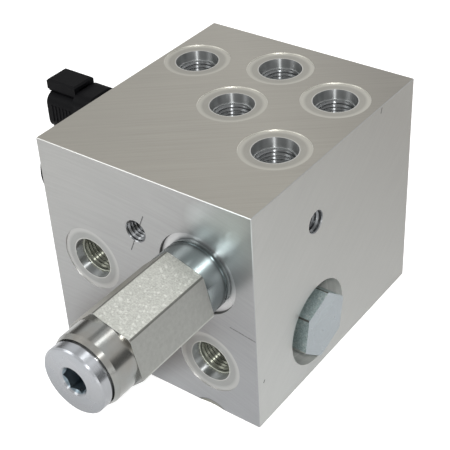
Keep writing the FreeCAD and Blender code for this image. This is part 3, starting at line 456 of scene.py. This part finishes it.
def turned_material(name, axis_at, axis, colour, rough=(0.23, 0.31), blush=None, tinted=None,
                    shaded_bore=None, fade=None):
    """Metal turned about an axis. It may have a tinted stretch along the axis, a bore painted
    darker as painted shade, and a painted shade that darkens it towards the bottom between two
    heights."""
    s = Shader(name)
    radius, along = axis_place(s, axis_at, axis)
    rings = s.rings(radius, along, 2.2)
    stain = s.noise(s.place, 0.11, 3.0)
    light = s.add(s.span(rings, 0.2, 0.8, 0.95, 1.05), s.spread(stain, -0.05, 0.05))
    tone = s.mix(s.span(stain, 0.4, 0.65), colour, blush or colour)
    if tinted:
        (low, high), tint = tinted
        tone = s.mix(s.span(along, low, high), tone, tint)
    # Painted shade inside the bore
    if shaded_bore:
        bore_r, bore_shade_tone = shaded_bore
        tone = s.mix(s.span(radius, bore_r, bore_r - 0.3), tone, bore_shade_tone)
    # Painted shade: darker towards the bottom
    if fade:
        tone = s.shade(tone, s.span(s.split(s.place)[2], *fade))
    brush(s, axis_at, axis, s.times(s.minus(1.0, end_on(s, axis)), 0.9))
    s.bump(rings, 0.006, 0.5)
    return s.set(Base_Color=s.shade(tone, light), Roughness=s.spread(stain, *rough), Metallic=1.0)


def blasted_material(name, axis_at, axis, corner_r, light_tone, dark_tone, right_flat_shade_tone, left_flat_shade_tone):
    """Grit-blasted and zinc-plated hexagon flats, with bright specks, painted shade on the flats
    that face right and left, and corners painted light low down and dark higher up as painted
    highlight and shade.
    """
    s = Shader(name)
    radius, _ = axis_place(s, axis_at, axis)
    grit = s.noise(s.place, 1.9, 3.0, 0.7)
    coarse = s.noise(s.place, 0.7)
    speck = s.node("TexVoronoi", Vector=s.place, Scale=1.3).outputs["Color"]
    sparkle = s.span(s.split(speck)[0], 0.78, 0.95)
    tone = s.mix(s.span(grit, 0.36, 0.64), dark_tone, light_tone)
    tone = s.mix(s.times(sparkle, 0.35), tone, srgb(226, 228, 222))
    turn = s.split(s.normal())[0]
    # Painted shade: flats facing right and flats facing left take darker tones
    tone = s.mix(s.span(turn, 0.5, 0.95), tone, right_flat_shade_tone)
    tone = s.mix(s.span(turn, -0.2, -0.6), tone, left_flat_shade_tone)
    # Painted highlight on the lower corners and painted shade on the upper ones
    corner = s.mix(s.span(s.split(s.place)[2], axis_at[2] + 4.0, axis_at[2] + 8.0),
                   srgb(182, 183, 178), srgb(104, 104, 100))
    tone = s.mix(s.span(radius, corner_r - 0.26, corner_r - 0.16), tone, corner)
    tone = s.shade(tone, s.add(s.spread(coarse, 0.95, 1.05), s.spread(grit, -0.05, 0.05)))
    s.bump(s.add(grit, s.times(coarse, 0.5)), 0.09, 0.7)
    return s.set(Base_Color=tone, Roughness=s.spread(grit, 0.36, 0.5), Metallic=1.0)


def moulded_material(name, colour, rough, grain_mm, depth_mm, scuff=None):
    """Moulded plastic or rubber: a fine grain, slight waviness and a few scuffs."""
    s = Shader(name)
    x, _, z = s.split(s.place)
    grain = s.noise(s.place, 1 / grain_mm, 3.0, 0.6)
    wave = s.noise(s.place, 0.12)
    marks = s.span(s.grain(x, z, 1.6, 0.08), 0.62, 0.74)
    tone = s.mix(s.times(marks, 0.25), colour, scuff or colour)
    tone = s.shade(tone, s.spread(wave, 0.9, 1.1))
    s.bump(s.add(grain, s.times(wave, 2.0)), depth_mm, 0.6)
    return s.set(Base_Color=tone, Roughness=s.spread(grain, rough - 0.06, rough + 0.06),
                 Specular_IOR_Level=0.07)


def wound_material(name, axis_at, axis, wire_width):
    """Enamelled copper wire wound in rounds, painted lighter on each round's crest and darker
    between rounds as painted highlight and shade.
    """
    s = Shader(name)
    _, along = axis_place(s, axis_at, axis)
    rounds = s.math("SINE", s.times(along, 2 * math.pi / wire_width))
    # Painted highlight on each round's crest and painted shade between rounds
    tone = s.mix(s.span(rounds, -1.0, 1.0), srgb(96, 46, 22), srgb(200, 120, 72))
    s.bump(rounds, 0.1, 0.8)
    return s.set(Base_Color=tone, Roughness=0.3, Metallic=1.0)


def cut_material(name, place, tone, rough, metal=1.0, rim=None, mouth_r=None, lines=0.07,
                 brushed=0.75, ring_scale=2.6):
    """Metal turned about a hole's axis. A rim has its width and the tones of its outer ring and
    edge; the edge is a painted highlight at the ports and a painted shade line at the relief.
    """
    s = Shader(name)
    radius, along = axis_place(s, place["at"], place["out"])
    rings = s.rings(radius, along, ring_scale)
    stain = s.noise(s.place, 0.16, 3.0)
    light = s.add(s.span(rings, 0.2, 0.8, 1 - lines, 1 + lines), s.spread(stain, -0.04, 0.04))
    colour = s.shade(tone, light)
    if rim:
        width, outer_ring_tone, edge = rim
        colour = s.mix(s.span(radius, place["r"] - width, place["r"] - width / 2), colour, outer_ring_tone)
        # The edge ring: a painted highlight at the ports and a painted shade line at the relief
        none_at, full_at = edge_ring
        colour = s.mix(s.span(radius, place["r"] - none_at, place["r"] - full_at), colour, edge)
    if mouth_r:
        # A painted highlight round the mouth
        none_at, full_at = mouth_ring
        colour = s.mix(s.span(radius, mouth_r + none_at, mouth_r + full_at), colour, mouth_highlight_tone)
    brush(s, place["at"], place["out"], brushed)
    s.bump(rings, 0.006, 0.5)
    return s.set(Base_Color=colour, Roughness=s.spread(stain, rough - 0.03, rough + 0.03),
                 Metallic=metal)


zinc_grey, zinc_warm, zinc_teal = srgb(148, 150, 148), srgb(140, 138, 133), srgb(142, 150, 151)
zinc_bright = srgb(188, 192, 190)
steel_tone = srgb(170, 170, 170)
# The tone of the painted shade line round the relief's spotface
relief_outline_shade_tone = srgb(108, 108, 107)

milled = block_material()
relief_turned = turned_material("zinc_relief", relief_at, Y, zinc_grey, rough=(0.18, 0.25),
                                blush=zinc_warm, tinted=((-16.0, -9.0), zinc_teal))
# The end plug is painted darker inside its bore and towards the bottom of its face, as painted
# shade
plug_turned = turned_material("zinc_end_plug", relief_at, Y, srgb(173, 175, 178),
                              blush=srgb(166, 169, 173), shaded_bore=(4.85, srgb(122, 136, 144)),
                              fade=(49.0, 65.0, 0.72, 1.0))
check_turned = turned_material("zinc_check", check_at, X, srgb(160, 167, 171))
solenoid_turned = turned_material("zinc_solenoid", solenoid_at, X, zinc_bright, blush=zinc_grey)
plug_zinc = turned_material("zinc_back_plugs", (0, 0, 0), Y, zinc_bright, blush=zinc_grey)
steel_relief = turned_material("ground_steel_front", relief_at, Y, steel_tone)
steel_check = turned_material("ground_steel_right", check_at, X, steel_tone)
steel_solenoid = turned_material("ground_steel_left", solenoid_at, X, steel_tone)
blasted = blasted_material("zinc_blasted", relief_at, Y, relief_hex / math.sqrt(3),
                           light_tone=srgb(186, 187, 181), dark_tone=srgb(163, 164, 158),
                           right_flat_shade_tone=srgb(154, 155, 151), left_flat_shade_tone=srgb(148, 145, 137))
# The check's hexagon is painted lighter than its zinc, as painted light in its shaded recess
blasted_check_painted_light = blasted_material("zinc_blasted_check", check_at, X, check_hex / math.sqrt(3),
                                light_tone=srgb(190, 204, 204), dark_tone=srgb(150, 166, 168),
                                right_flat_shade_tone=srgb(152, 164, 164), left_flat_shade_tone=srgb(150, 164, 164))
plastic = moulded_material("black_moulding", srgb(10, 10, 12), rough=0.5, grain_mm=0.35,
                           depth_mm=0.02, scuff=srgb(30, 30, 34))
rubber = moulded_material("seal_rubber", srgb(26, 26, 27), rough=0.6, grain_mm=0.25,
                          depth_mm=0.015)
ring_plastic = moulded_material("backup_rings", srgb(206, 200, 184), rough=0.4, grain_mm=0.4,
                                depth_mm=0.01)
bobbin_plastic = moulded_material("bobbin_plastic", srgb(190, 180, 156), rough=0.45,
                                  grain_mm=0.4, depth_mm=0.02)
winding = wound_material("copper_winding", solenoid_at, X, wire_width=0.6)
pin_metal = turned_material("tinned_pins", (0, 0, 0), X, srgb(206, 204, 196))

node_materials = {
    "manifold_block": milled, "gallery_plugs": plug_zinc, "relief_body": relief_turned,
    "relief_end_plug": plug_turned, "check_body": check_turned,
    "solenoid_body": solenoid_turned, "coil_nut": solenoid_turned,
    "coil_frame": solenoid_turned, "coil_end_washer": solenoid_turned,
    "coil_housing": plastic, "coil_bobbin": bobbin_plastic, "coil_winding": winding,
    "coil_terminals": pin_metal,
}
side_steel = {"relief": steel_relief, "check": steel_check, "solenoid": steel_solenoid}

# A port's tones: its step, wall, spotface, outer ring, edge and thread, and the spotface's
# brushing. The front and top ports are lit and shaded copies of one turned finish: the bright
# steps and edges are painted highlights, brightest on top, and the dark threads are painted shade.
front_port = {
    "step": srgb(196, 198, 190), "wall": srgb(165, 168, 168), "spot": srgb(158, 159, 157),
    "outer_ring_tone": srgb(180, 180, 178), "edge": srgb(198, 198, 196), "thread": srgb(118, 120, 110),
    "brushed": 0.5,
}
top_port = {
    "step": srgb(226, 228, 228), "wall": srgb(143, 145, 145), "spot": srgb(158, 156, 149),
    "outer_ring_tone": srgb(180, 178, 170), "edge": srgb(232, 232, 228), "thread": srgb(120, 122, 123),
    "brushed": 0.0,
}


def port_look(place):
    return front_port if place["out"] == -Y else top_port


def block_cuts():
    """The block's cut faces: the hole of each, how wide it reaches, from what depth, and its
    material. A facet takes the first one that it lies in."""
    cuts = []
    for index, place in enumerate(ports, 1):
        look = port_look(place)
        rim = (port_outer_ring_width, look["outer_ring_tone"], look["edge"])
        cuts.append((place, port_wall_r - paint_reach, port_seat_depth, cut_material(
            f"port_{index}_step", place, look["step"], rough=0.42, lines=0.03, brushed=0.0)))
        cuts.append((place, port_wall_r + paint_reach, wall_paint_from, cut_material(
            f"port_{index}_wall", place, look["wall"], rough=0.38, brushed=1.0)))
        cuts.append((place, port_spot_r + paint_reach, face_paint_from, cut_material(
            f"port_{index}_spotface", dict(place, r=port_spot_r), look["spot"], rough=0.4,
            rim=rim, mouth_r=port_wall_r, brushed=look["brushed"])))
    for index, place in enumerate(tapped, 1):
        # Tapped holes are painted darker than the block, as painted shade
        cuts.append((place, tapped_r + tapped_paint_reach, face_paint_from, cut_material(
            f"tapped_{index}_wall", place, srgb(128, 130, 132), rough=0.3)))
    cuts.append((relief_hole, relief_spot_r + paint_reach, relief_paint_from, cut_material(
        "relief_spotface", relief_hole, srgb(192, 192, 192), rough=0.3,
        rim=(relief_shade_line_width, relief_outline_shade_tone, relief_outline_shade_tone))))
    cuts.append((check_hole, check_recess_r + paint_reach, recess_paint_from, cut_material(
        "check_recess", check_hole, srgb(206, 206, 202), rough=0.42, metal=0.25, lines=0.32,
        ring_scale=0.7)))
    return cuts


def block_facet(point, cuts):
    """The number of the cut face that a facet of the block lies in, or 0 on the outside."""
    if (abs(point.x) > block_half_width - outer_skin
            or abs(point.y) > block_half_depth - outer_skin
            or abs(point.z - block_height / 2) > block_height / 2 - outer_skin):
        return 0
    for number, (place, reach, depth_from, _) in enumerate(cuts, 1):
        radius, depth = around(point, place)
        depth_to = recess_paint_depth if place is check_hole else hole_paint_depth
        if radius < reach and depth_from < depth < depth_to:
            return number
    return 0


def hex_facet(point, normal, place, across_flats, turn_deg):
    """1 on a facet that is one of a hexagon's six flats, 0 elsewhere."""
    from_axis = (point - place["at"]).dot(normal)
    if (abs(from_axis - across_flats / 2) > flat_distance
            or abs(normal.dot(place["out"])) > flat_slope):
        return 0
    right = Z.cross(place["out"])
    up = place["out"].cross(right)
    angle = math.degrees(math.atan2(normal.dot(up), normal.dot(right)))
    off = (angle - turn_deg - 30) % 60
    return 1 if min(off, 60 - off) < flat_turn else 0


def repaint(node, chooser, *others):
    """Give chosen facets of a CAD node another of its materials."""
    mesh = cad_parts[node].data
    for extra in others:
        mesh.materials.append(extra)
    for facet in mesh.polygons:
        chosen = chooser(facet.center / MM, facet.normal)
        if chosen:
            facet.material_index = chosen


def node_material(name):
    """A CAD node's own material, or that of its kind, or the steel of its cartridge."""
    if name in node_materials:
        return node_materials[name]
    if name.endswith("backups"):
        return ring_plastic
    if name.endswith(("seal", "seals")):
        return rubber
    return side_steel[name.split("_")[0]]


def paint_nodes():
    """Give every CAD node its material."""
    for name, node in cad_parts.items():
        node.data.materials.clear()
        node.data.materials.append(node_material(name))
    cuts = block_cuts()
    repaint("manifold_block", lambda point, normal: block_facet(point, cuts),
            *(material for _, _, _, material in cuts))
    repaint("relief_body", lambda point, normal: hex_facet(
        point, normal, relief_hole, relief_hex, relief_hex_turn), blasted)
    repaint("check_body", lambda point, normal: hex_facet(
        point, normal, check_hole, check_hex, check_hex_turn), blasted_check_painted_light)


def add_object(name, data):
    made = bpy.data.objects.new(name, data)
    bpy.context.scene.collection.objects.link(made)
    return made


def add_mesh(name, vertices, faces, material, smooth=True):
    """A new mesh object. Where it is smooth, only its four-sided faces are."""
    mesh = bpy.data.meshes.new(name)
    mesh.from_pydata(vertices, [], faces)
    if smooth:
        mesh.polygons.foreach_set("use_smooth", [len(face) == 4 for face in faces])
    mesh.materials.append(material)
    return add_object(name, mesh)


def spoke(right, up, angle):
    """The way from an axis at an angle about it."""
    return math.cos(angle) * right + math.sin(angle) * up


def thread(name, place, metal, wall_r, crest_r, start, end):
    """The ridges of an inside thread: a helix of three narrow strips that run out at both ends."""
    out = place["out"]
    right = X if out != X else Y
    up = out.cross(right)
    turns = (end - start) / thread_pitch
    count = int(turns * thread_steps)
    root_r = wall_r + thread_root_overlap
    half_root, half_crest = thread_pitch * thread_root_share, thread_pitch * thread_crest_share
    section = [(root_r, half_root), (crest_r, half_crest), (crest_r, -half_crest),
               (root_r, -half_root)]
    vertices, faces = [], []
    for first, second in zip(section, section[1:]):
        base = len(vertices)
        for step in range(count + 1):
            way = spoke(right, up, 2 * math.pi * step / thread_steps)
            fade = min(1.0, step / thread_steps * 2, (count - step) / thread_steps * 2)
            depth = start + thread_pitch * step / thread_steps
            for full_r, offset in (first, second):
                radius = root_r - (root_r - full_r) * fade
                vertices.append((place["at"] + radius * way - (depth - offset) * out) * MM)
            if step:
                low = base + 2 * step
                faces.append((low - 2, low - 1, low + 1, low))
    ridge = add_mesh(name, vertices, faces, metal)
    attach(ridge, "manifold")


def cut_threads():
    """Put ridges in every port and tapped hole."""
    for index, place in enumerate(ports, 1):
        metal = cut_material(f"port_{index}_thread", place, port_look(place)["thread"],
                             rough=0.34, brushed=1.0)
        thread(f"port_thread_{index}", place, metal, port_thread_r, port_crest_r,
               port_thread_start, port_thread_end)
    for index, place in enumerate(tapped, 1):
        # Tapped threads are painted darker, as painted shade
        metal = cut_material(f"tapped_{index}_thread", place, srgb(132, 134, 136), rough=0.3)
        thread(f"tapped_thread_{index}", place, metal, tapped_r, tapped_crest_r,
               tapped_thread_start, tapped_thread_end)


def spring(side, at, push, coil_r, wire_r, turns):
    """A spring in place of the CAD's rigid one, which is hidden."""
    node = f"{side}_spring"
    low, high = sorted(corner.dot(push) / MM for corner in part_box(node))
    across = push.cross(Z)
    middle = Vector(at) - Vector(at).dot(push) * push
    count = int(turns * spring_steps)
    vertices, faces = [], []
    for step in range(count + 1):
        way = spoke(Z, across, 2 * math.pi * step / spring_steps)
        along = low + (high - low) * step / count
        first = step * spring_sides
        for side_step in range(spring_sides):
            round_wire = 2 * math.pi * side_step / spring_sides
            radius = coil_r + wire_r * math.cos(round_wire)
            height = min(max(along + wire_r * math.sin(round_wire), low), high)
            vertices.append((middle + radius * way + height * push) * MM)
            if step:
                here, beside = first + side_step, first + (side_step + 1) % spring_sides
                faces.append((here, beside, beside - spring_sides, here - spring_sides))
    faces.append(tuple(range(spring_sides)))
    faces.append(tuple(reversed(range(count * spring_sides, (count + 1) * spring_sides))))
    wire = add_mesh(f"{node}_wire", vertices, faces, side_steel[side])
    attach(wire, "manifold")
    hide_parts(node)
    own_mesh(wire)


def aim(made, at, target, front):
    """Put a board or a lamp in its place, with its front to a point."""
    made.location = at
    made.rotation_mode = "QUATERNION"
    made.rotation_quaternion = (Vector(target) - Vector(at)).to_track_quat(front, "Y")


def board(name, at, size, facing, material, hidden=False):
    """A flat board of the studio, facing a point, or lying flat."""
    half_x, half_y = size[0] / 2, size[1] / 2
    corners = [(-half_x, -half_y, 0), (half_x, -half_y, 0), (half_x, half_y, 0),
               (-half_x, half_y, 0)]
    made = add_mesh(name, corners, [(0, 1, 2, 3)], material, smooth=False)
    if facing:
        aim(made, at, facing, "Z")
    else:
        made.location = at
    made.visible_camera = not hidden
    made.visible_shadow = not hidden
    made.visible_diffuse = not hidden


def floor_material():
    """A white floor that still shows the object's soft shadow."""
    s = Shader("studio_floor")
    paper = s.noise(s.place, 0.4)
    path = s.node("LightPath").outputs
    seen = s.add(s.times(path["Is Camera Ray"], floor_seen),
                 s.times(path["Is Glossy Ray"], floor_in_gloss))
    return s.set(Base_Color=s.shade(floor_tone, s.spread(paper, 0.99, 1.01)), Roughness=0.9,
                 Emission_Color=white, Emission_Strength=seen)


def flag_material(name, size, light_tone, dark_tone):
    """Dark cloth that thins out toward the edges of its board."""
    s = Shader(name)
    cloth = s.noise(s.place, 0.2)
    x, y, _ = s.split(s.place)
    edge = s.join(X=s.times(x, MM / (size[0] / 2)), Y=s.times(y, MM / (size[1] / 2)))
    return s.set(Base_Color=s.mix(cloth, dark_tone, light_tone), Roughness=0.95,
                 Alpha=s.span(s.vector("LENGTH", edge), 1.0, 0.45, 0.0, 0.95))


def flag(name, at, size, light_tone, dark_tone, facing=(0, 0, 0.05)):
    """A board that darkens only what the metal mirrors."""
    board(name, at, size, facing, flag_material(name, size, light_tone, dark_tone), hidden=True)


def light(name, at, size, power):
    """A soft box that points at the block's middle."""
    lamp = bpy.data.lights.new(name, "AREA")
    lamp.shape = "RECTANGLE"
    lamp.size, lamp.size_y = size
    lamp.energy = power
    aim(add_object(name, lamp), at, (0.0, 0.0, 0.045), "-Z")


def surroundings():
    """A world that is white where it is seen or mirrored, and dimmer as a light."""
    world = bpy.data.worlds.new("studio")
    bpy.context.scene.world = world
    world.use_nodes = True
    tree = world.node_tree
    tree.nodes.clear()
    path = tree.nodes.new("ShaderNodeLightPath").outputs
    seen = path["Is Camera Ray"]
    for key in ("Is Glossy Ray", "Is Transmission Ray"):
        larger = tree.nodes.new("ShaderNodeMath")
        larger.operation = "MAXIMUM"
        tree.links.new(seen, larger.inputs[0])
        tree.links.new(path[key], larger.inputs[1])
        seen = larger.outputs[0]
    level = tree.nodes.new("ShaderNodeMapRange")
    level.inputs["To Min"].default_value = world_light
    tree.links.new(seen, level.inputs["Value"])
    sky = tree.nodes.new("ShaderNodeBackground")
    sky.inputs["Color"].default_value = white
    tree.links.new(level.outputs[0], sky.inputs["Strength"])
    end = tree.nodes.new("ShaderNodeOutputWorld")
    tree.links.new(sky.outputs[0], end.inputs[0])


def studio():
    """White surroundings, a floor, dark flags and soft boxes."""
    surroundings()
    board("floor", (0, 0, 0), (6.0, 6.0), None, floor_material())
    flag("flag_right", (0.72, 0.36, 0.2), (1.0, 0.6), srgb(34, 44, 46), srgb(22, 30, 32))
    flag("flag_left", (-0.74, 0.42, 0.16), (0.9, 0.7), srgb(62, 56, 50), srgb(44, 40, 36))
    flag("flag_top", (-0.26, 0.42, 0.9), (0.3, 0.3), srgb(64, 72, 74), srgb(48, 56, 58))
    # A painted shadow: a brown card on the floor, seen only in reflections, that stands for the
    # cartridge's shadow
    flag("painted_floor_shadow", (-0.022, -0.071, 0.001), (0.07, 0.05), srgb(150, 132, 120),
         srgb(130, 112, 100), facing=None)
    light("key", (-0.54, -0.64, 0.66), (0.4, 0.4), 1.8)
    light("fill", (0.7, -0.5, 0.14), (0.3, 0.2), 0.7)
    light("strip", (0.1, 0.42, 0.8), (0.1, 0.6), 0.8)
    light("flash", (0.53, -0.68, 0.82), (0.1, 0.1), 6.0)


def camera():
    """The photo's camera, as it was fitted to the block's corners and ports."""
    lens = bpy.data.cameras.new("camera")
    lens.lens = camera_lens
    lens.sensor_width = camera_sensor
    lens.shift_x, lens.shift_y = camera_shift
    lens.clip_start, lens.clip_end = camera_clip
    made = add_object("camera", lens)
    forward = camera_forward.normalized()
    right = (camera_right - camera_right.dot(forward) * forward).normalized()
    turn = Matrix((right, right.cross(forward), -forward)).transposed()
    made.matrix_world = Matrix.Translation(camera_at * MM) @ turn.to_4x4()
    bpy.context.scene.camera = made


for name in ("Cube", "Light", "Camera"):
    left_over = bpy.data.objects.get(name)
    if left_over:
        bpy.data.objects.remove(left_over)

bpy.context.scene.view_settings.view_transform = "Standard"
paint_nodes()
cut_threads()
spring("relief", relief_at, -Y, coil_r=6.0, wire_r=1.3, turns=9.0)
spring("check", check_at, X, coil_r=2.8, wire_r=0.35, turns=9.0)
spring("solenoid", solenoid_at, X, coil_r=3.0, wire_r=0.4, turns=6.0)
studio()
camera()
